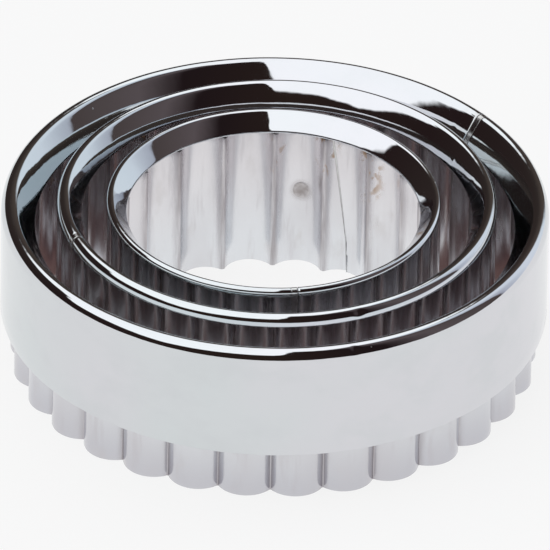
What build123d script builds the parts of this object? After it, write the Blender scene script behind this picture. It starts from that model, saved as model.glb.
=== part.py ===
"""A nested set of three fluted pastry cutters, each a plain collar round a fluted cutting band.

Millimetres, +Z up. The origin is on the largest cutter's axis, on the plane that the cutting edges
stand on. -Y is the front. Angles are counted from +X towards +Y.
"""
import math
import os

from build123d import *

# Sheet metal
sheet = 0.35                    # tinplate thickness
edge_height = 25.9              # rim top above the cutting edges, the same for all three
collar_foot = 8.25              # collar's lower edge above the cutting edges

# Flutes
flute_pitch = 8.07              # round the crests, the same for all three
flute_depth = 1.85              # crest to valley on the outer face
valley_radius = 0.20            # outer face, at the valley between two flutes
lip_clearance = 0.10            # under the lip, over the band's top

# The lip's inner edge, turned down to stand upright
edge_bend = 0.15                # inside the bend, under the deepest layer of the lap
edge_flange = 0.45              # upright part under the bend

# Largest cutter
large_radius = 40.0
large_rim_radius = 1.15         # rolled rim, outer face
large_lip_width = 5.0           # collar's outer face to the lip's inner edge
large_lip_drop = 4.5            # rim top down to the bottom of the lip's turned edge
large_crest_gap = 1.15          # collar's inner face to the flute crests

# Middle cutter, which stands inside the largest one
medium_nest_gap = 2.83          # round the middle collar, to the largest cutter's lip
medium_rim_radius = 0.95
medium_lip_width = 3.6
medium_lip_drop = 3.6
medium_crest_gap = 0.80

# Smallest cutter, which stands inside the middle one
small_nest_gap = 4.15           # round the smallest collar, to the middle cutter's lip
small_rim_radius = 0.80
small_lip_width = 2.97
small_lip_drop = 2.95
small_crest_gap = 0.50

# Where a cutter has been put down inside the next larger one, as shares of the gap round it
medium_shift_shares = (0.074, 0.537)
small_shift_shares = (-0.113, -0.137)

# Lap seams: one end of the sheet lies over the other, with solder between
seam_gap = 0.10                 # between the two layers
seam_slit = 0.15                # past the end of the covered layer
seam_step = 0.60                # length of the joggle between the layers
collar_lap = 4.0                # length of the overlap round the collar
band_lap = 3.0                  # covered layer's end to the flute's crest line
lap_end_offset = 1.9            # lap's visible end past the crest line, at mid height
lap_end_slant = 8.0             # degrees that this end leans off upright
seam_fit = 0.01                 # round the solder

# Spot welds, which tie flute crests to the collar
weld_radius = 1.2
weld_height = 12.4              # above the cutting edges
weld_count = 3
weld_dimple = 0.10              # weld's face below the band's inner face
weld_fit = 0.03                 # round each weld

# How far each cutter is turned from having a valley at the very back, in degrees
large_turn, medium_turn, small_turn = 0.0, -2.0, 0.0

# Directions of the collars' seams and of the bands' seams, in degrees
large_seam_angle, medium_seam_angle, small_seam_angle = 39.3, 205.0, -91.0
large_lap_angle, medium_lap_angle, small_lap_angle = 156.0, 125.0, 60.0

# The side of the collar that its second layer lies on: 1 over the outer face, -1 under it
large_lap_side, medium_lap_side, small_lap_side = -1, 1, 1

overrun = 1.0                   # past a face that a cut goes through


class Cutter:
    """The sizes of one cutter, worked out from the named sizes above."""

    def __init__(self, name, radius, centre, rim, lip_width, lip_drop, crest_gap, turn, seam, side, lap):
        self.name = name
        self.radius = radius
        self.centre = centre
        self.rim = rim
        self.lip_radius = radius - lip_width
        self.lip_height = edge_height - lip_drop
        self.back_valley = math.pi / 2 + math.radians(turn)
        self.seam = seam
        self.side = side
        self.crest = radius - sheet - crest_gap
        self.flutes = max(6, round(2 * math.pi * self.crest / flute_pitch))
        self.half = math.pi / self.flutes
        # the valley arc's centre, and the flute arc tangent to it and to the crest circle
        self.valley = self.crest - flute_depth + valley_radius
        reach = self.crest + valley_radius
        self.arc_centre = (reach**2 - self.valley**2) / (2 * (reach - self.valley * math.cos(self.half)))
        self.arc = self.crest - self.arc_centre
        flutes_from_back = (math.radians(lap) - self.back_valley) / (2 * self.half)
        self.lap_crest = self.crest_angle(math.floor(flutes_from_back))
        # the lip's slope: the line tangent to the arc of the rim and to that of the turned-down edge
        self.under = sheet if side > 0 else 2 * sheet + seam_gap
        self.bend = self.under + edge_bend
        self.rim_centre = (radius - rim, edge_height - rim)
        self.bend_centre = (self.lip_radius + self.bend, self.lip_height + edge_flange)
        across = self.rim_centre[0] - self.bend_centre[0]
        up = self.rim_centre[1] - self.bend_centre[1]
        self.slope = math.atan2(up, across) + math.asin((rim - self.bend) / math.hypot(across, up))

    def crest_angle(self, index):
        """The direction of a flute's crest, in radians; flute 0 starts at the back valley."""
        return self.back_valley + (2 * index + 1) * self.half

    def lip_underside(self, at_radius):
        """Height that is free under the lip at a distance from the axis, at the lap if that lies lower."""
        if at_radius < self.lip_radius + self.under + lip_clearance:
            return self.lip_height
        if at_radius < self.bend_centre[0]:
            return self.bend_centre[1]
        rise = (at_radius - self.bend_centre[0]) * math.tan(self.slope)
        return self.bend_centre[1] + rise + edge_bend / math.cos(self.slope)

    def band_top(self):
        """Height of the band's top, which the lip covers."""
        return self.lip_underside(self.crest - flute_depth - sheet) - lip_clearance


def polar(radius, angle, height=0.0):
    """A point at a distance from the axis, in a direction in radians."""
    return Vector(radius * math.cos(angle), radius * math.sin(angle), height)


def collar_section(cutter, outer, inner):
    """The collar strip's section, from its foot to its turned-down edge, between two depths."""
    lip_side = math.pi / 2 + cutter.slope
    rim_middle = lip_side / 2
    edge_middle = (lip_side + math.pi) / 2

    def on_arc(centre, radius, angle):
        """A point of an arc of the section."""
        return Vector(centre[0] + radius * math.cos(angle), 0, centre[1] + radius * math.sin(angle))

    def face_points(depth):
        """Foot, the rim's arc, the turned edge's arc and its end, of the face at one depth."""
        rim = cutter.rim - depth
        bend = cutter.bend - depth
        return (
            Vector(cutter.radius - depth, 0, collar_foot),
            on_arc(cutter.rim_centre, rim, 0.0),
            on_arc(cutter.rim_centre, rim, rim_middle),
            on_arc(cutter.rim_centre, rim, lip_side),
            on_arc(cutter.bend_centre, bend, lip_side),
            on_arc(cutter.bend_centre, bend, edge_middle),
            on_arc(cutter.bend_centre, bend, math.pi),
            Vector(cutter.lip_radius + depth, 0, cutter.lip_height),
        )

    a = face_points(outer)
    b = face_points(inner)
    edges = [
        Line(a[0], a[1]),
        ThreePointArc(a[1], a[2], a[3]),
        Line(a[3], a[4]),
        ThreePointArc(a[4], a[5], a[6]),
        Line(a[6], a[7]),
        Line(a[7], b[7]),
        Line(b[7], b[6]),
        ThreePointArc(b[6], b[5], b[4]),
        Line(b[4], b[3]),
        ThreePointArc(b[3], b[2], b[1]),
        Line(b[1], b[0]),
        Line(b[0], a[0]),
    ]
    return Face(Wire(edges))


def sector(section, start, end):
    """A section turned about the axis between two angles in degrees."""
    return Rot(0, 0, start) * revolve(section, axis=Axis.Z, revolution_arc=end - start)


def collar_layers(cutter):
    """Depths of the second layer of the lap, and of both layers together."""
    if cutter.side > 0:
        return (-seam_gap - sheet, -seam_gap), (-seam_gap - sheet, sheet)
    return (sheet + seam_gap, 2 * sheet + seam_gap), (0.0, 2 * sheet + seam_gap)


def collar_angles(cutter):
    """Degrees taken up by the slit, the joggle and the overlap."""
    return [math.degrees(length / cutter.radius) for length in (seam_slit, seam_step, collar_lap)]


def make_collar(cutter):
    """The plain collar with its rolled rim and inward lip, closed by a lap seam."""
    slit, step, lap = collar_angles(cutter)
    layer, both = collar_layers(cutter)
    start = cutter.seam
    ring = sector(collar_section(cutter, 0.0, sheet), start, start + 360 - slit)
    joggle = sector(collar_section(cutter, *both), start - slit - step, start - slit)
    tongue = sector(collar_section(cutter, *layer), start - slit, start + lap)
    return ring + joggle + tongue


def make_collar_solder(cutter):
    """The solder between the collar's two layers, from the covered end to the lap's end."""
    slit, step, lap = collar_angles(cutter)
    near, far = (-seam_gap, 0.0) if cutter.side > 0 else (sheet, sheet + seam_gap)
    film = collar_section(cutter, near + seam_fit, far - seam_fit)
    return sector(film, cutter.seam, cutter.seam + lap)


def flute_outline(cutter, depth):
    """The band's closed outline at a depth under its outer face: an arc a flute, a small arc a valley."""
    bulge = cutter.arc - depth
    groove = valley_radius + depth
    span = cutter.valley * math.sin(cutter.half)
    ahead = cutter.valley * math.cos(cutter.half) - cutter.arc_centre
    turn = math.atan2(span, ahead)
    edges = []
    for index in range(cutter.flutes):
        crest = cutter.crest_angle(index)
        centre = polar(cutter.arc_centre, crest)
        first = centre + polar(bulge, crest - turn)
        last = centre + polar(bulge, crest + turn)
        edges.append(ThreePointArc(first, centre + polar(bulge, crest), last))
        following = cutter.crest_angle(index + 1)
        next_first = polar(cutter.arc_centre, following) + polar(bulge, following - turn)
        bottom = polar(cutter.valley - groove, crest + cutter.half)
        edges.append(ThreePointArc(last, bottom, next_first))
    return Face(Wire(edges))


def flute_sector(cutter, inner, outer, start, end, height):
    """An upright piece of sheet that follows the seam's flute, between two angles from its crest."""
    centre = polar(cutter.arc_centre, cutter.lap_crest)
    at = cutter.lap_crest
    middle = (start + end) / 2
    edges = [
        ThreePointArc(centre + polar(outer, at + start), centre + polar(outer, at + middle),
                      centre + polar(outer, at + end)),
        Line(centre + polar(outer, at + end), centre + polar(inner, at + end)),
        ThreePointArc(centre + polar(inner, at + end), centre + polar(inner, at + middle),
                      centre + polar(inner, at + start)),
        Line(centre + polar(inner, at + start), centre + polar(outer, at + start)),
    ]
    return extrude(Face(Wire(edges)), amount=height, dir=(0, 0, 1))


def lap_trim(cutter):
    """The block that cuts the lap's end along a slanted line."""
    size = 2 * edge_height
    block = Pos(0, size / 2, 0) * Box(size / 2, size, 2 * size)
    middle = Pos(*polar(cutter.crest, cutter.lap_crest, edge_height / 2))
    lean = Rot(0, 0, math.degrees(cutter.lap_crest)) * Rot(-lap_end_slant, 0, 0)
    return middle * lean * Pos(0, lap_end_offset, 0) * block


def lap_angles(cutter):
    """Angles from the seam flute's crest: covered end, joggle's near and far side, untrimmed lap end."""
    covered = -band_lap / cutter.arc
    near = covered - seam_slit / cutter.arc
    far = near - seam_step / cutter.arc
    reach = lap_end_offset + edge_height / 2 * math.tan(math.radians(lap_end_slant))
    return covered, near, far, reach / (cutter.arc - 2 * sheet - seam_gap)


def weld_places(cutter):
    """Crest directions of the spot welds, in degrees, evenly round the cutter."""
    indices = [round(k * cutter.flutes / weld_count) - 1 for k in range(weld_count)]
    return [math.degrees(cutter.crest_angle(index)) for index in indices]


def make_band(cutter):
    """The fluted cutting band, closed by a lap seam on one flute and pierced at its spot welds."""
    height = cutter.band_top()
    outline = flute_outline(cutter, 0.0) - flute_outline(cutter, sheet)
    band = extrude(outline, amount=height, dir=(0, 0, 1))
    covered, near, far, end = lap_angles(cutter)
    inner = cutter.arc - sheet
    band -= flute_sector(cutter, inner - overrun, cutter.arc + overrun, near, covered, height)
    deep = inner - seam_gap - sheet
    band += flute_sector(cutter, deep, inner + sheet / 2, far, near, height)
    tongue = flute_sector(cutter, deep, inner - seam_gap, near, end, height)
    band += tongue - lap_trim(cutter)
    for angle in weld_places(cutter):
        hole = Cylinder(weld_radius + weld_fit, 2 * (sheet + overrun))
        band -= Rot(0, 0, angle) * Pos(cutter.crest, 0, weld_height) * Rot(0, 90, 0) * hole
    return band


def make_band_solder(cutter):
    """The solder between the band's two layers."""
    covered, near, far, end = lap_angles(cutter)
    inner = cutter.arc - sheet
    deep = inner - seam_gap + seam_fit
    film = flute_sector(cutter, deep, inner - seam_fit, covered, end, cutter.band_top())
    return film - lap_trim(cutter)


def make_welds(cutter):
    """The spot welds: round buttons through a crest, across the gap to the collar's inner face."""
    near = cutter.crest - sheet + weld_dimple
    far = cutter.radius - sheet - weld_fit - weld_radius**2 / (2 * cutter.radius)
    button = Pos(near, 0, weld_height) * Rot(0, 90, 0) * Cylinder(
        weld_radius, far - near, align=(Align.CENTER, Align.CENTER, Align.MIN))
    return [Rot(0, 0, angle) * button for angle in weld_places(cutter)]


def place(cutter, shape):
    """Moves a shape from the cutter's own axis to where the cutter stands."""
    return Pos(cutter.centre[0], cutter.centre[1], 0) * shape


def write(cutter, piece, solids):
    """Writes one node as a STEP file."""
    placed = [place(cutter, solid) for solid in solids]
    shape = placed[0] if len(placed) == 1 else Compound(children=placed)
    export_step(shape, f"parts/{cutter.name}_{piece}.step")
    print(f"{cutter.name}_{piece}: {len(placed)} solids")


medium_radius = large_radius - large_lip_width - medium_nest_gap
small_radius = medium_radius - medium_lip_width - small_nest_gap
medium_centre = [share * medium_nest_gap for share in medium_shift_shares]
small_centre = [at + share * small_nest_gap for at, share in zip(medium_centre, small_shift_shares)]

cutters = [
    Cutter("large", large_radius, (0.0, 0.0), large_rim_radius, large_lip_width, large_lip_drop,
           large_crest_gap, large_turn, large_seam_angle, large_lap_side, large_lap_angle),
    Cutter("medium", medium_radius, medium_centre, medium_rim_radius, medium_lip_width, medium_lip_drop,
           medium_crest_gap, medium_turn, medium_seam_angle, medium_lap_side, medium_lap_angle),
    Cutter("small", small_radius, small_centre, small_rim_radius, small_lip_width, small_lip_drop,
           small_crest_gap, small_turn, small_seam_angle, small_lap_side, small_lap_angle),
]

os.makedirs("parts", exist_ok=True)
for cutter in cutters:
    print(f"{cutter.name}: radius {cutter.radius:.2f}, {cutter.flutes} flutes, crest {cutter.crest:.2f}, "
          f"lip slope {math.degrees(cutter.slope):.1f} degrees, band top {cutter.band_top():.2f}")
    write(cutter, "collar", [make_collar(cutter)])
    write(cutter, "fluted_band", [make_band(cutter)])
    write(cutter, "spot_welds", make_welds(cutter))
    write(cutter, "collar_solder", [make_collar_solder(cutter)])
    write(cutter, "band_solder", [make_band_solder(cutter)])
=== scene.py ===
"""A nested set of three fluted pastry cutters, dressed round its CAD frame. Metres, +Z up."""
import math

import bmesh
import bpy
import numpy as np
from mathutils import Matrix, Vector


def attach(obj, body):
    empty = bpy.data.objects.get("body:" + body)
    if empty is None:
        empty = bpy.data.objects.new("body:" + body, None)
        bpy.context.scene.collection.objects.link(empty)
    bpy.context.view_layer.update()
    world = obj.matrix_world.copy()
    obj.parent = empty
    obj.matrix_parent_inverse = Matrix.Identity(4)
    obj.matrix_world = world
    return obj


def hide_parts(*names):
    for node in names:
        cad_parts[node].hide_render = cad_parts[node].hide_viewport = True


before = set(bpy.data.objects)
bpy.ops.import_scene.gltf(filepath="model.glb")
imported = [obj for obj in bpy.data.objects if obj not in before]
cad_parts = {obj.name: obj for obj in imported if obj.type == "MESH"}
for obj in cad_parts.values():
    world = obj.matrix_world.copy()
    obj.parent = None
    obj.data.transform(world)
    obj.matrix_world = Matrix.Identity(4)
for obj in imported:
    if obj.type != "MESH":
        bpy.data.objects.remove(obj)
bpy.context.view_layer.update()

# Camera
# The photograph is taken with a long lens from in front, a third of the way up, tipped a little.
camera_elevation = math.radians(33.5)
camera_roll = math.radians(1.03)
camera_distance = 3.0
frame_pixels = 550
pixels_per_metre = 6825.0
base_centre_pixel = (272.7, 349.6)


def add_camera():
    """Looks along +Y and down; moved sideways until the base's centre falls on its pixel."""
    data = bpy.data.cameras.new("camera")
    data.type = "PERSP"
    data.sensor_width = 36.0
    data.lens = data.sensor_width * camera_distance * pixels_per_metre / frame_pixels
    data.clip_start, data.clip_end = 0.05, 20.0
    camera = bpy.data.objects.new("camera", data)
    bpy.context.scene.collection.objects.link(camera)
    back = Vector((0, -math.cos(camera_elevation), math.sin(camera_elevation)))
    turn = back.to_track_quat("Z", "Y").to_matrix() @ Matrix.Rotation(camera_roll, 3, "Z")
    right, up = turn.col[0], turn.col[1]
    across = (frame_pixels / 2 - base_centre_pixel[0]) / pixels_per_metre
    above = (base_centre_pixel[1] - frame_pixels / 2) / pixels_per_metre
    aim = right * across + up * above
    camera.matrix_world = Matrix.Translation(aim + back * camera_distance) @ turn.to_4x4()
    bpy.context.scene.camera = camera


add_camera()
bpy.context.scene.view_settings.view_transform = "Standard"


# Studio
# A pale floor under a soft light tent: a large light overhead towards the left, another low on the
# right behind the set, and dark gaps between, which the bright metal shows.
class Wire:
    """A socket of a node tree; arithmetic on it adds the Math nodes of the expression."""

    def __init__(self, tree, socket=None):
        self.tree = tree
        self.socket = socket

    def node(self, kind, settings=None, inputs=None, output=0):
        """Adds a node, settings first, then its sockets' values or links; gives one output."""
        made = self.tree.nodes.new(kind)
        for name, value in (settings or {}).items():
            if name == "stops":
                ramp = made.color_ramp.elements
                while len(ramp) < len(value):
                    ramp.new(0.5)
                for stop, (place, colour) in zip(ramp, value):
                    stop.position = place
                    stop.color = (*colour, 1.0)
            else:
                setattr(made, name, value)
        for name, value in (inputs or {}).items():
            if isinstance(value, Wire):
                self.tree.links.new(value.socket, made.inputs[name])
            else:
                made.inputs[name].default_value = value
        return Wire(self.tree, made.outputs[output]) if len(made.outputs) else None

    def maths(self, operation, *values):
        """One Math node of the values or wires."""
        return self.node("ShaderNodeMath", {"operation": operation}, dict(enumerate(values)))

    def __add__(self, other):
        return self.maths("ADD", self, other)

    def __sub__(self, other):
        return self.maths("SUBTRACT", self, other)

    def __rsub__(self, other):
        return self.maths("SUBTRACT", other, self)

    def __mul__(self, other):
        return self.maths("MULTIPLY", self, other)

    def __truediv__(self, other):
        return self.maths("DIVIDE", self, other)

    def __rtruediv__(self, other):
        return self.maths("DIVIDE", other, self)

    __radd__ = __add__
    __rmul__ = __mul__

    def rise(self, low, high):
        """0 below low, 1 above high and a smooth step between; a fall where low is the larger."""
        ends = {"Value": self, "From Min": low, "From Max": high}
        return self.node("ShaderNodeMapRange", {"interpolation_type": "SMOOTHSTEP"}, ends)

    def dot(self, vector):
        """The vector's dot product with a fixed direction."""
        sockets = {0: self, 1: vector}
        return self.node("ShaderNodeVectorMath", {"operation": "DOT_PRODUCT"}, sockets, "Value")

    def stretched(self, stretch):
        """The vector, each of its parts times a number of its own."""
        return self.node("ShaderNodeVectorMath", {"operation": "MULTIPLY"}, {0: self, 1: stretch})

    def length(self):
        """The vector's length."""
        return self.node("ShaderNodeVectorMath", {"operation": "LENGTH"}, {0: self}, "Value")

    def noise(self, stretch, detail=2.0, roughness=0.5):
        """Soft noise between 0 and 1 of a position, with so many waves to a unit on each axis."""
        return self.node("ShaderNodeTexNoise", None, {
            "Vector": self.stretched(stretch), "Scale": 1.0, "Detail": detail,
            "Roughness": roughness}, "Fac")

    def blend(self, first, second):
        """Mixes two colours, this wire being the share of the second."""
        made = self.tree.nodes.new("ShaderNodeMix")
        made.data_type = "RGBA"
        for name, value in (("A", first), ("B", second)):
            socket = next(s for s in made.inputs if s.name == name and s.type == "RGBA")
            if isinstance(value, Wire):
                self.tree.links.new(value.socket, socket)
            else:
                socket.default_value = (*value, 1.0)
        self.tree.links.new(self.socket, made.inputs["Factor"])
        return Wire(self.tree, next(s for s in made.outputs if s.type == "RGBA"))


low_sky = (
    # direction round the set in degrees, colour of the low part of the sky there
    (-180, (0.022, 0.013, 0.013)), (-95, (0.027, 0.017, 0.014)), (-44, (0.018, 0.011, 0.012)),
    (-24, (0.125, 0.100, 0.105)), (10, (0.085, 0.066, 0.064)), (11.5, (0.50, 0.53, 0.62)),
    (30, (0.80, 0.87, 0.96)), (52, (0.84, 0.92, 1.0)), (60, (0.09, 0.07, 0.06)),
    (100, (0.04, 0.03, 0.027)), (180, (0.022, 0.013, 0.013)))
high_sky = (1.28, 1.30, 1.32)
white = (1.0, 1.0, 1.0)
sky_split = (
    # direction round the set in degrees, height in degrees where the low sky ends
    (-180, 30), (-165, 31), (-155, 30), (-147, 27), (-136, 26), (-112, 36), (-88, 38), (-84, 48),
    (-79, 70), (-72, 76), (-54, 84), (-42, 84), (-34, 78), (10, 76), (40, 66), (60, 56), (90, 36),
    (118, 40), (143, 46), (160, 45), (168, 36), (180, 30))
split_softness = 1.5


def add_studio():
    """A low sky of several tones round the set, a white one over it and a soft edge between."""
    world = bpy.data.worlds.new("studio")
    bpy.context.scene.world = world
    world.use_nodes = True
    tree = world.node_tree
    tree.nodes.clear()
    start = Wire(tree)
    towards = start.node("ShaderNodeTexCoord", output="Generated")
    turn = start.maths("ARCTAN2", towards.dot((0, 1, 0)), towards.dot((1, 0, 0)))
    azimuth = turn / (2 * math.pi) + 0.5
    elevation = start.maths("ARCSINE", towards.dot((0, 0, 1))) * (180 / math.pi)

    def by_azimuth(stops):
        """A colour ramp round the set."""
        places = [(direction / 360 + 0.5, colour) for direction, colour in stops]
        return azimuth.node("ShaderNodeValToRGB", {"stops": places}, {"Fac": azimuth})

    split = by_azimuth([(direction, (height / 90,) * 3) for direction, height in sky_split]) * 90
    above = (elevation - split).rise(-split_softness, split_softness)
    colour = above.blend(by_azimuth(low_sky), high_sky)
    path = tree.nodes.new("ShaderNodeLightPath")
    seen = Wire(tree, path.outputs["Is Camera Ray"])
    surface = start.node("ShaderNodeBackground", None, {
        "Color": seen.blend(colour, white), "Strength": 1.0})
    start.node("ShaderNodeOutputWorld", None, {"Surface": surface})


floor_half = 3.0
paper_tone = 0.9
floor_lift = 0.86
gap_painted_shade = (0.14, 0.080, 0.074)
# distances from the middle at which the floor turns from the gaps' painted shade to the open floor
outside_gaps, inside_gaps = (0.0358, 0.0366), (0.0252, 0.0244)


def add_floor():
    """A flat white sheet; its shading shows, lifted to white for the camera and in reflections.

    In the gaps between the cutters, where little light comes, only reflections lift it, and only to
    a dark brown: painted shade.
    """
    mesh = bpy.data.meshes.new("floor")
    corners = [(x * floor_half, y * floor_half, 0) for x, y in ((-1, -1), (1, -1), (1, 1), (-1, 1))]
    mesh.from_pydata(corners, [], [(0, 1, 2, 3)])
    floor = bpy.data.objects.new("floor", mesh)
    bpy.context.scene.collection.objects.link(floor)
    material = bpy.data.materials.new("floor")
    material.use_nodes = True
    tree = material.node_tree
    tree.nodes.clear()
    start = Wire(tree)
    far = start.node("ShaderNodeTexCoord", output="Object").length()
    open_floor = start.maths("MAXIMUM", far.rise(*outside_gaps), far.rise(*inside_gaps))
    path = tree.nodes.new("ShaderNodeLightPath")
    camera, glossy, through = (
        Wire(tree, path.outputs[f"Is {kind} Ray"]) for kind in ("Camera", "Glossy", "Transmission"))
    seen = start.maths("MAXIMUM", camera * open_floor, start.maths("MAXIMUM", glossy, through))
    paper = start.node("ShaderNodeBsdfDiffuse", None, {"Color": (*[paper_tone] * 3, 1.0)})
    # In the gaps the reflected glow is dark brown: painted shade where little light comes.
    glow = start.node("ShaderNodeEmission", None, {"Color": open_floor.blend(gap_painted_shade, white)})
    mixed = start.node("ShaderNodeMixShader", None, {0: seen * floor_lift, 1: paper, 2: glow})
    start.node("ShaderNodeOutputMaterial", None, {"Surface": mixed})
    mesh.materials.append(material)


add_studio()
add_floor()


# Collars
# Each collar is one strip of bright tinplate, rolled over at its top, sloped inward as a lip and
# turned down at its inner edge. The strip's end is joggled and lies under its start, soldered.
mm = 0.001
sheet = 0.35
rim_height = 25.9
collar_foot = 8.25
shoulder_turn = math.radians(37)
edge_bend, edge_flange = 0.47, 0.12
lap_gap = 0.10
lap_length = 4.0
lap_ramp = 0.9
lap_slit = 0.10
end_rounding, end_least = 0.07, 0.12
edge_points = 6
edge_reach = 0.3
collar_step = 0.30
wave_height = 0.006
cutters = {
    # radius, centre, shoulder's and top's radius, lip's curve, lip's inner edge, its height, and
    # the direction of the seam
    "large": (40.0, (0.0, 0.0), 2.4, 1.2, 40.0, 35.0, 21.6, 39.3),
    "medium": (32.17, (0.209, 1.520), 2.0, 0.95, 12.5, 28.5, 22.5, 202.0),
    "small": (24.42, (-0.260, 0.951), 0.80, 0.62, 30.0, 21.4, 23.25, -81.0),
}
dents = {
    # direction, distance up the sheet from its foot, width round and up, depth
    "large": ((-76.4, 7.7, 0.45, 2.6, 0.03), (-130.6, 3.2, 2.6, 1.7, 0.035),
              (-72.5, 17.2, 0.35, 0.30, 0.10), (107.0, 21.6, 0.35, 0.25, 0.05),
              (98.0, 21.4, 0.3, 0.2, 0.04), (44.0, 22.6, 0.25, 0.3, 0.05)),
    "medium": ((-67.5, 17.0, 0.45, 0.30, 0.12), (28.0, 21.0, 0.25, 0.3, 0.03)),
    "small": ((72.0, 18.5, 0.5, 0.4, 0.03),),
}
# waves to a turn, share of the wave's height, and shift, in radii of the collar
waves_round = ((7, 1.0, 1), (17, 0.6, -2), (29, 0.5, 0))


def arc_points(centre, radius, start, end, count):
    """centre + radius (cos a, sin a) for angles a from start to end, and the outward normals."""
    a = np.linspace(start, end, count)
    normal = np.stack([np.cos(a), np.sin(a)], 1)
    return np.asarray(centre) + radius * normal, normal


def collar_profile(radius, shoulder_radius, top_radius, lip_curve, lip_radius, lip_height):
    """Wall, shoulder arc, top arc, crowned lip, bent edge and flange, each tangent to the next.

    The lip's arc has the top's and the edge's arcs inside it and touches both, so its centre is
    where circles of the radii's differences about their two centres meet.
    """
    facing = np.array([math.cos(shoulder_turn), math.sin(shoulder_turn)])
    inward = (shoulder_radius - top_radius) * facing
    shoulder = np.array([radius - shoulder_radius, rim_height - top_radius - inward[1]])
    top = shoulder + inward
    edge = np.array([lip_radius + edge_bend, lip_height + edge_flange])
    apart = np.linalg.norm(top - edge)
    line = (top - edge) / apart
    near, far = lip_curve - edge_bend, lip_curve - top_radius
    along = (near**2 - far**2 + apart**2) / (2 * apart)
    lip = edge + line * along + np.array([line[1], -line[0]]) * math.sqrt(near**2 - along**2)
    start, end = (math.atan2(*(point - lip)[::-1]) for point in (top, edge))
    foot, flange_end = collar_foot + edge_reach * sheet, lip_height + edge_reach * sheet
    heights = np.linspace(foot, shoulder[1], 9)
    wall = np.stack([np.full(9, radius), heights], 1), np.tile((1.0, 0.0), (9, 1))
    flange = np.array([[lip_radius, flange_end]]), np.array([[-1.0, 0.0]])
    arcs = [arc_points(shoulder, shoulder_radius, 0.0, shoulder_turn, 9),
            arc_points(top, top_radius, shoulder_turn, start, 12),
            arc_points(lip, lip_curve, start, end, 10),
            arc_points(edge, edge_bend, end, math.pi, 6)]
    parts = [wall, *[(point[1:], normal[1:]) for point, normal in arcs], flange]
    return np.concatenate([part[0] for part in parts]), np.concatenate([part[1] for part in parts])


def loop_places(count):
    """One trip round a sheet's section: up one face, round an edge, down the other, round an edge.

    Gives which point of the profile, which share of the thickness, and how far past its end.
    """
    turn = math.pi * np.arange(1, edge_points + 1) / (edge_points + 1)
    share, past = (1 - np.cos(turn)) / 2, edge_reach * np.sqrt(np.sin(turn))
    rise, rest = np.arange(count), np.zeros(count)
    far, near = np.full(edge_points, count - 1), np.zeros(edge_points, int)
    index = np.concatenate([rise, far, rise[::-1], near])
    share, past = [rest, share, rest + 1, 1 - share], [rest, past, rest, -past]
    return index, np.concatenate(share), np.concatenate(past)


def smooth_step(value):
    """3 v^2 - 2 v^3 of the value held between 0 and 1."""
    held = np.clip(value, 0, 1)
    return held * held * (3 - 2 * held)


def end_thickness(distance, length):
    """1 in the middle of a strip, and a quarter round down to end_least at both sheared ends."""
    inside = np.clip(np.minimum(distance, length - distance) / end_rounding, 0, 1)
    return end_least + (1 - end_least) * np.sqrt(1 - (1 - inside)**2)


def end_stations(start, end, spacing):
    """Even stations along a strip, with a few close ones at its ends for their rounding."""
    close = end_rounding * (1 - np.cos(np.linspace(0, math.pi / 2, 5)[:-1]))
    even = np.linspace(start + end_rounding, end - end_rounding, round((end - start) / spacing))
    return np.concatenate([start + close, even, end - close[::-1]])


def sheet_piece(name, body, node, slot, material, points, marks):
    """A closed strip from points[station, place round the section], in mm, with flat end caps.

    Opposite places of the section are last - j and j, so the caps are bands of quads between them.
    """
    stations, count = points.shape[:2]
    corner = np.arange(stations * count).reshape(stations, count)
    side = np.roll(corner, -1, 1)
    walls = np.stack([corner[:-1], corner[1:], side[1:], side[:-1]], 2).reshape(-1, 4)
    half = count // 2 - edge_points
    j = np.arange(-(edge_points // 2), half - 1 + edge_points // 2)
    last = 2 * half + edge_points - 1
    cap = np.stack([j, j + 1, last - j - 1, last - j], 1) % count
    quads = np.concatenate([walls, corner[0][cap], corner[-1][cap[:, ::-1]]])
    mesh = bpy.data.meshes.new(name)
    mesh.vertices.add(corner.size)
    mesh.vertices.foreach_set("co", (points * mm).ravel())
    mesh.loops.add(quads.size)
    mesh.loops.foreach_set("vertex_index", quads.ravel())
    mesh.polygons.add(len(quads))
    mesh.polygons.foreach_set("loop_start", np.arange(0, quads.size, 4))
    mesh.polygons.foreach_set("use_smooth", np.ones(len(quads), bool))
    mesh.update(calc_edges=True)
    for mark, values in marks.items():
        drawn = mesh.attributes.new(mark, "FLOAT_VECTOR", "POINT")
        drawn.data.foreach_set("vector", values.ravel())
    return add_piece(name, body, node, material, mesh)


def add_piece(name, body, node, material, mesh):
    """Puts a mesh into the scene in the place of a node of the frame."""
    mesh.materials.append(material)
    piece = bpy.data.objects.new(name, mesh)
    bpy.context.scene.collection.objects.link(piece)
    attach(piece, body)
    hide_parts(node)
    return piece


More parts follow.
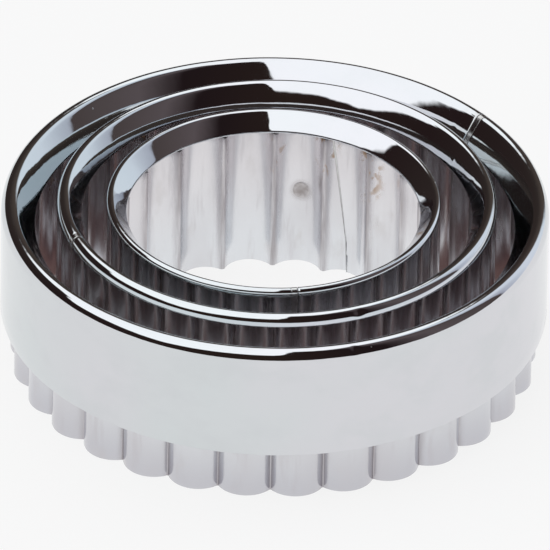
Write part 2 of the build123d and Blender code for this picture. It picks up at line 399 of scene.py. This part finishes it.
def collar_strip(cutter, start, end, spacing, depth, thickness, waves=0.0):
    """The profile carried round the axis between two distances; depth and thickness may change.

    A point is profile - (depth + share * thickness) * normal, turned by distance / radius. Both
    ends are rounded off from the upper face. The waves and the dents add to the depth.
    """
    radius, centre, *shape, seam = cutters[cutter]
    profile, normal = collar_profile(radius, *shape)
    tangent = np.stack([-normal[:, 1], normal[:, 0]], 1)
    along = end_stations(start, end, spacing)
    turn = math.radians(seam) + along / radius
    index, share, past = loop_places(len(profile))
    thick = thickness(along)
    thin = thick * end_thickness(along - start, end - start)
    lengths = np.linalg.norm(np.diff(profile, axis=0), axis=1)
    across = np.append(0, np.cumsum(lengths))[index]
    sunk = np.zeros((len(along), len(index)))
    middle = depth(along) + thick / 2
    if waves:
        for direction, up, wide, high, deep in dents[cutter]:
            off = (turn - math.radians(direction) + math.pi) % (2 * math.pi) - math.pi
            far = (off * radius / wide)[:, None]**2 + ((across - up) / high)**2
            sunk += deep * np.exp(-far / 2)
        for count, part, shift in waves_round:
            middle = middle + waves * part * (1 + np.sin(count * turn + shift * radius))
    sunk = sunk + middle[:, None] + (share - 0.5) * thin[:, None] + (thick - thin)[:, None] / 2
    out = past * thin[:, None]
    flat = profile[index] - sunk[..., None] * normal[index] + out[..., None] * tangent[index]
    points = np.stack([flat[..., 0] * np.cos(turn)[:, None] + centre[0],
                       flat[..., 0] * np.sin(turn)[:, None] + centre[1], flat[..., 1]], 2)
    return points, {"place": np.stack(np.broadcast_arrays(along[:, None], across, share), 2)}


def even(measure):
    """The same depth or thickness all along a strip."""
    return lambda along: np.full(along.shape, measure)


def lap_depth(cutter):
    """0 along the strip, then a joggle down to the second layer's depth just before the seam."""
    full = 2 * math.pi * cutters[cutter][0] - lap_slit
    return lambda along: (sheet + lap_gap) * smooth_step((along - full) / lap_ramp + 1)


def new_material(name):
    """An empty material, and a wire to start its maths from."""
    material = bpy.data.materials.new(name)
    material.use_nodes = True
    material.node_tree.nodes.clear()
    return material, Wire(material.node_tree)


def object_place(start):
    """Object coordinates, in millimetres."""
    return start.node("ShaderNodeTexCoord", output="Object").stretched((1 / mm,) * 3)


def metal(start, colour, roughness, height, relief):
    """Bare metal whose colour, roughness and height are wires; relief is the height's size."""
    normal = start.node("ShaderNodeBump", None, {
        "Strength": 1.0, "Distance": relief, "Height": height})
    shader = start.node("ShaderNodeBsdfPrincipled", None, {
        "Base Color": colour, "Metallic": 1.0, "Roughness": roughness, "Normal": normal})
    start.node("ShaderNodeOutputMaterial", None, {"Surface": shader})


blue_tin, grey_tin = (0.664, 0.697, 0.710), (0.692, 0.692, 0.722)
smudged_tin = (0.635, 0.655, 0.675)
seam_brown, pit_pale = (0.42, 0.36, 0.30), (0.80, 0.80, 0.80)
tin_relief = 0.000024
wall_top, lip_start = 13.5, 16.0
pit_cell = 0.2


def bright_tinplate():
    """Polished tin: faint roller lines along the strip, soft unevenness, smudges, stains, pits."""
    material, start = new_material("bright_tinplate")
    strip = start.node("ShaderNodeAttribute", {"attribute_name": "place"}, output="Vector")
    along, across = strip.dot((1, 0, 0)), strip.dot((0, 1, 0))
    place = object_place(start)
    uneven = place.noise((0.30, 0.30, 0.30), 2.0, 0.42)
    lines = strip.noise((0.04, 5.0, 0.0), 3.0, 0.7)
    smudge = place.noise((0.11, 0.11, 0.16), 4.0, 0.6).rise(0.42, 0.72)
    tone = place.noise((0.025, 0.025, 0.03), 2.0)
    cells = {"Vector": place.stretched((pit_cell,) * 3), "Scale": 1.0}
    near = start.node("ShaderNodeTexVoronoi", None, cells, "Distance")
    kind = start.node("ShaderNodeTexVoronoi", None, cells, "Color").dot((1, 0, 0))
    pit = near.rise(0.040, 0.018) * kind.rise(0.45, 0.46) * across.rise(14.0, lip_start)
    at_seam = start.maths("ABSOLUTE", along).rise(3.5, 0.4)
    seam_stain = at_seam * place.noise((0.5, 0.5, 0.5), 3.0).rise(0.35, 0.7)
    wall = across.rise(lip_start, wall_top)
    colour = tone.rise(0.35, 0.65).blend(blue_tin, grey_tin)
    colour = (smudge * 0.5).blend(colour, smudged_tin)
    colour = (seam_stain * 0.45).blend(colour, seam_brown)
    colour = (pit * 0.6).blend(colour, pit_pale)
    clean = lines * 0.022 + wall * 0.03 + 0.022
    roughness = clean + smudge * 0.026 + seam_stain * 0.10 + pit * 0.45
    metal(start, colour, roughness, uneven + lines * 0.012 - pit * 0.25, tin_relief)
    return material


dark_solder, pale_solder, flux_left = (0.54, 0.53, 0.52), (0.65, 0.66, 0.66), (0.34, 0.26, 0.19)
solder_relief = 0.000006


def soft_solder():
    """Tin and lead solder: dull grey, grainy, with brown flux left in its hollows."""
    material, start = new_material("solder")
    place = object_place(start)
    grain = place.noise((2.6, 2.6, 2.6), 4.0, 0.6)
    patches = place.noise((0.7, 0.7, 0.5), 3.0, 0.6)
    colour = patches.rise(0.35, 0.65).blend(dark_solder, pale_solder)
    colour = (patches.rise(0.62, 0.80) * 0.45).blend(colour, flux_left)
    metal(start, colour, grain * 0.10 + patches * 0.10 + 0.06, grain, solder_relief)
    return material


bright_tin = bright_tinplate()
solder = soft_solder()
for cutter, (radius, *_) in cutters.items():
    length = 2 * math.pi * radius + lap_length
    strip = collar_strip(cutter, 0.0, length, collar_step, lap_depth(cutter), even(sheet),
                         wave_height)
    sheet_piece(f"{cutter}_collar_sheet", f"{cutter}_cutter", f"{cutter}_collar", "bright_tinplate",
                bright_tin, *strip)

# Solder in the collars' laps
# A thin film of soft solder between the two layers, which also fills the joggle beside the visible
# end flush with the tin.
film_fit = 0.01
film_step = 0.06
film_least = 0.012
flush = 0.02


def lap_film(cutter):
    """The film's depth and thickness: from under the top layer to the joggled end below it.

    Before the visible end, at distance 0, its upper face comes up to lie flush with the sheet's.
    """
    turn_round = 2 * math.pi * cutters[cutter][0]
    layer = lap_depth(cutter)

    def depth(along):
        return sheet + film_fit + (flush - sheet - film_fit) * smooth_step(-along / film_step)

    def thickness(along):
        return np.maximum(layer(along + turn_round) - film_fit - depth(along), film_least)

    return depth, thickness


for cutter in cutters:
    strip = collar_strip(cutter, -lap_ramp - lap_slit, lap_length, film_step, *lap_film(cutter))
    sheet_piece(f"{cutter}_collar_lap_solder", f"{cutter}_cutter", f"{cutter}_collar_solder",
                "solder", solder, *strip)

# Fluted bands
# The cutting band is tinplate crimped into round flutes, with sharp valleys between them. Its end
# laps inside its start on one flute, cut off along a slightly slanted line, and is soldered there.
flute_depth = 1.85
valley_radius = 0.20
band_lap = 3.0
band_step = 1.0
lap_end_offset = 1.9
lap_end_slant = 8.0
flute_points, valley_points = 22, 6
flute_share = flute_points / (flute_points + valley_points)
height_points = 22
flute_unevenness = 0.05
bulge_reach = 0.4
weld_height = 12.4
weld_count = 3
no_weld = 9.0
dimple_depth, dimple_width = 0.13, 1.1
bands = {
    # crest radius, number of flutes, turn from a valley at the back, top, direction of the lap
    "large": (38.50, 30, 0.0, 22.36, 156.0),
    "medium": (31.02, 24, -2.0, 22.35, 125.0),
    "small": (23.57, 18, 0.0, 23.10, 60.0),
}


def flute_sizes(crest, flutes):
    """Half a flute's angle, valley centres' radius, flute arc's centre, radius and half turn."""
    half = math.pi / flutes
    valley, reach = crest - flute_depth + valley_radius, crest + valley_radius
    centre = (reach**2 - valley**2) / (2 * (reach - valley * math.cos(half)))
    turn = math.atan2(valley * math.sin(half), valley * math.cos(half) - centre)
    return half, valley, centre, crest - centre, turn


def flute_line(crest, flutes, turned, place):
    """Points and outward normals of the outer face; place counts flutes from the back valley.

    Each flute is an arc about its own centre. The rest of its pitch is the small arc of the next
    valley, whose centre lies on the outer side: point = centre - valley_radius * normal.
    """
    half, valley, centre, arc, turn = flute_sizes(crest, flutes)
    number = np.floor(place)
    at_crest = math.pi / 2 + math.radians(turned) + (2 * number + 1) * half
    part = (place - number) / flute_share
    on_flute = part <= 1
    middle = np.where(on_flute, at_crest, at_crest + half)
    sunk = (part - 1) * flute_points / valley_points
    off = np.where(on_flute, turn * (2 * part - 1), (turn - half) * (1 - 2 * sunk))
    normal = np.stack([np.cos(middle + off), np.sin(middle + off)], -1)
    outward = np.stack([np.cos(middle), np.sin(middle)], -1)
    far = np.where(on_flute, centre, valley)[..., None] * outward
    return far + np.where(on_flute, arc, -valley_radius)[..., None] * normal, normal


def flute_place(crest, flutes, number, distance):
    """Place of a point at a distance along a flute's arc from its crest line."""
    arc, turn = flute_sizes(crest, flutes)[3:]
    return number + flute_share * (1 + np.asarray(distance) / (arc * turn)) / 2


def weld_flutes(flutes):
    """The flutes that are welded, evenly round the band."""
    return [round(k * flutes / weld_count) - 1 for k in range(weld_count)]


def lap_flute(cutter):
    """The flute nearest to the lap's direction."""
    _, flutes, turned, _, lap = bands[cutter]
    return math.floor((math.radians(lap - turned) - math.pi / 2) * flutes / (2 * math.pi))


def band_strip(cutter, start, end, spacing, depth, thick):
    """The flute line carried up from the cutting edge, between two places, at a changing depth.

    The end's last flute is stretched so that the end leans. Each flute bulges a little differently,
    and a bell-shaped dimple round each weld adds to the depth.
    """
    crest, flutes, turned, top, _ = bands[cutter]
    centre = cutters[cutter][1]
    arc, turn = flute_sizes(crest, flutes)[3:]
    places = np.linspace(start, end, max(8, round((end - start) / spacing)))
    low = edge_reach * sheet
    heights = np.linspace(low, top - low, height_points)
    index, share, past = loop_places(len(heights))
    z = heights[index] + past * thick
    lean = (z - rim_height / 2) * math.tan(math.radians(lap_end_slant))
    stretch = flute_place(crest, flutes, 0, lean) - flute_place(crest, flutes, 0, 0)
    late = smooth_step((places - end) * flutes / 2 + 1)
    place = places[:, None] + late[:, None] * stretch
    line, normal = flute_line(crest, flutes, turned, place)
    number = np.floor(place)
    random = np.random.default_rng(flutes)
    uneven = random.normal(0, flute_unevenness, flutes)[number.astype(int) % flutes]
    from_crest = (place - number) - flute_share / 2
    bulge = np.clip(1 - (from_crest / bulge_reach)**2, 0, 1)**2
    aside = np.full(place.shape, no_weld)
    for welded in weld_flutes(flutes):
        distance = from_crest * 2 * arc * turn / flute_share
        aside = np.where((number - welded) % flutes == 0, distance, aside)
    above = z - weld_height
    dimple = dimple_depth * np.exp(-(aside**2 + above**2) / (2 * dimple_width**2))
    sunk = depth(places)[:, None] + share * thick + uneven * bulge - dimple
    flat = line - sunk[..., None] * normal
    points = np.stack([flat[..., 0] + centre[0], flat[..., 1] + centre[1],
                       np.broadcast_to(z, place.shape)], 2)
    return points, {"place": np.stack(np.broadcast_arrays(place, z, share), 2),
                    "weld": np.stack(np.broadcast_arrays(aside, above, 0.0), 2)}


def weld_distance(start):
    """Millimetres from the middle of the nearest weld, and the place across the weld."""
    weld = start.node("ShaderNodeAttribute", {"attribute_name": "weld"}, output="Vector")
    return weld.length(), weld


# tins of the flutes' two faces: the inner lighter than the outer, the outer darker at the foot,
# painted light and shade
inner_low, inner_high = (0.80, 0.82, 0.85), (0.80, 0.78, 0.80)
outer_foot_shade, outer_high = (0.60, 0.60, 0.64), (0.70, 0.71, 0.735)
broad_grey, streak_grey, cloud_grey = (0.60, 0.575, 0.60), (0.55, 0.52, 0.545), (0.62, 0.59, 0.585)
# the valleys' colour is painted shade in the creases; the burnt ring and the flux are the metal's
# own
valley_painted_shade, ring_burnt, flux_brown = (0.29, 0.25, 0.26), (0.32, 0.28, 0.27), (0.50, 0.27, 0.08)
flute_relief = 0.00002


def flute_tinplate(cutter):
    """Crimped tinplate: satin, streaked up the flutes, flux stains, burnt rings; painted shade in
    the valleys and at the outer foot, and painted light on the inner face.
    """
    material, start = new_material(f"{cutter}_flute_tinplate")
    flutes, lap = bands[cutter][1], lap_flute(cutter)
    strip = start.node("ShaderNodeAttribute", {"attribute_name": "place"}, output="Vector")
    flute, up = strip.dot((1, 0, 0)), strip.dot((0, 1, 0))
    inner = strip.dot((0, 0, 1)).rise(0.4, 0.6)
    place = object_place(start)
    from_weld, _ = weld_distance(start)
    part = start.maths("FRACT", flute + (1 - flute_share / 2))
    from_valley = start.maths("ABSOLUTE", part - 0.5)
    from_lap = start.maths("ABSOLUTE", flute - (lap + 0.5 + flutes / 2))
    near_lap = from_lap.rise(flutes / 2 - 1.9, flutes / 2 - 0.6)
    streaks = strip.noise((5.0, 0.07, 0.0), 3.0, 0.65)
    broad = strip.noise((1.1, 0.05, 0.0), 2.0)
    fine = strip.noise((42.0, 0.12, 0.0), 2.0)
    cloud = place.noise((0.22, 0.22, 0.14), 4.0, 0.6)
    drops = strip.noise((4.0, 0.28, 0.0), 3.0, 0.6).rise(0.54, 0.64)
    # Darker in the valleys between flutes, streaked: painted shade in the creases.
    valley = from_valley.rise(0.20, 0.04) * (streaks.rise(0.30, 0.60) * 0.7 + 0.3)
    flux = near_lap * inner * up.rise(13.0, 19.0) * drops * from_valley.rise(0.36, 0.12)
    ring = from_weld.rise(2.3, 0.6) * (cloud * 0.9 + 0.5)
    # Painted light and shade by face: the inner face gets lighter tin than the outer face of the
    # same sheet, and the outer face darkens towards the cutting edge, painted shade where the set
    # meets the floor.
    inner_tin = up.rise(3.0, 20.0).blend(inner_low, inner_high)
    outer_tin = up.rise(0.5, 9.0).blend(outer_foot_shade, outer_high)
    colour = inner.blend(outer_tin, inner_tin)
    colour = (broad.rise(0.40, 0.70) * 0.35).blend(colour, broad_grey)
    colour = (streaks.rise(0.50, 0.72) * 0.30).blend(colour, streak_grey)
    colour = (cloud.rise(0.55, 0.75) * 0.30).blend(colour, cloud_grey)
    colour = (valley * 0.62).blend(colour, valley_painted_shade)
    colour = (ring * 0.68).blend(colour, ring_burnt)
    colour = (flux * 0.80).blend(colour, flux_brown)
    satin = inner * 0.08 + streaks * 0.09 + cloud * 0.07 + 0.09
    roughness = satin + flux * 0.25 + ring * 0.10 + valley * 0.10
    metal(start, colour, roughness, cloud + fine * 0.04, flute_relief)
    return material


flute_step = 1 / (flute_points + valley_points)


def band_depth(crest, flutes, covered):
    """0 along the band, then a joggle down to the second layer's depth before a turn's end."""
    step = float(flute_place(crest, flutes, 0, band_step) - flute_place(crest, flutes, 0, 0))
    near = covered + flutes - step / 6
    return lambda place: (sheet + lap_gap) * smooth_step((place - near) / step + 1)


for cutter, (crest, flutes, *_) in bands.items():
    lap = lap_flute(cutter)
    covered = float(flute_place(crest, flutes, lap, -band_lap))
    end = float(flute_place(crest, flutes, lap + flutes, lap_end_offset))
    strip = band_strip(cutter, covered, end, flute_step, band_depth(crest, flutes, covered), sheet)
    sheet_piece(f"{cutter}_flute_sheet", f"{cutter}_cutter", f"{cutter}_fluted_band",
                "flute_tinplate", flute_tinplate(cutter), *strip)

# Solder in the bands' laps
# The same thin film of soft solder, between the two layers of the lapped flute. A little of it is
# squeezed out past the visible end.
squeezed_out = 0.25
for cutter, (crest, flutes, *_) in bands.items():
    reach = (-band_lap, lap_end_offset + squeezed_out)
    ends = [float(flute_place(crest, flutes, lap_flute(cutter), distance)) for distance in reach]
    strip = band_strip(cutter, *ends, flute_step, even(sheet + film_fit), lap_gap - 2 * film_fit)
    sheet_piece(f"{cutter}_band_lap_solder", f"{cutter}_cutter", f"{cutter}_band_solder", "solder",
                solder, *strip)

# Spot welds
# Three flutes of each band are welded to the collar: a round grey nugget, pressed in a little, that
# goes through the flute's crest and across to the collar.
weld_radius = 1.25
weld_proud = 0.008
weld_bite = 0.03
face_rings, weld_sides = 9, 40
root_width = 1.12
nugget_pale, nugget_edge, nugget_dark = (0.46, 0.43, 0.43), (0.62, 0.595, 0.60), (0.36, 0.32, 0.31)
weld_relief = 0.000012


def burnt_weld():
    """Pressed and heated tin: a paler middle, a brown grey ring round it, and a fine grain."""
    material, start = new_material("weld")
    from_weld, weld = weld_distance(start)
    grain = object_place(start).noise((3.0, 3.0, 3.0), 4.0, 0.6)
    patches = weld.noise((1.1, 1.1, 1.0), 3.0, 0.6)
    colour = from_weld.rise(0.4, weld_radius).blend(nugget_pale, nugget_edge)
    colour = (patches.rise(0.40, 0.65) * 0.6).blend(colour, nugget_dark)
    metal(start, colour, grain * 0.20 + patches * 0.10 + 0.22, grain, weld_relief)
    return material


def weld_points(cutter):
    """Rings of three nuggets: the pressed face, its edge through the sheet, the root, its middle.

    The face's radius is the dimpled sheet's, less a crown of weld_proud (1 - (r / weld_radius)^4).
    """
    crest, flutes, turned, *_ = bands[cutter]
    radius, centre = cutters[cutter][:2]
    half, _, arc_centre, arc, _ = flute_sizes(crest, flutes)
    rings = np.concatenate([np.linspace(0, 1, face_rings), [root_width, root_width, 0.0]])
    out = rings * weld_radius
    round_turn = np.linspace(0, 2 * math.pi, weld_sides + 1)[:-1]
    sideways, upward = out[:, None] * np.cos(round_turn), out[:, None] * np.sin(round_turn)
    dimple = dimple_depth * np.exp(-(sideways**2 + upward**2) / (2 * dimple_width**2))
    face = arc - sheet + dimple - weld_proud * (1 - (out[:, None] / weld_radius)**4)
    face[face_rings] += sheet / face_rings
    face[face_rings + 1:] = radius - sheet + weld_bite - arc_centre
    points = []
    for welded in weld_flutes(flutes):
        at = math.pi / 2 + math.radians(turned) + (2 * welded + 1) * half
        facing = at + sideways / arc
        points.append(np.stack([arc_centre * math.cos(at) + face * np.cos(facing) + centre[0],
                                arc_centre * math.sin(at) + face * np.sin(facing) + centre[1],
                                weld_height + upward], 2))
    across = np.stack([sideways, upward, 0 * upward], 2)
    return np.stack(points), np.stack([across] * len(points))


weld_grey = burnt_weld()
for cutter in bands:
    points, across = weld_points(cutter)
    corner = np.arange(points[..., 0].size).reshape(points.shape[:3])
    beside = np.roll(corner, -1, 2)
    quads = np.stack([corner[:, :-1], corner[:, 1:], beside[:, 1:], beside[:, :-1]], 3)
    mesh = bpy.data.meshes.new(f"{cutter}_welds")
    mesh.from_pydata((points.reshape(-1, 3) * mm).tolist(), [], quads.reshape(-1, 4).tolist())
    drawn = mesh.attributes.new("weld", "FLOAT_VECTOR", "POINT")
    drawn.data.foreach_set("vector", across.ravel())
    welds = bmesh.new()
    welds.from_mesh(mesh)
    bmesh.ops.remove_doubles(welds, verts=welds.verts, dist=1e-7)
    bmesh.ops.recalc_face_normals(welds, faces=welds.faces)
    welds.to_mesh(mesh)
    welds.free()
    mesh.polygons.foreach_set("use_smooth", np.ones(len(mesh.polygons), bool))
    add_piece(f"{cutter}_welds", f"{cutter}_cutter", f"{cutter}_spot_welds", weld_grey,
              mesh)
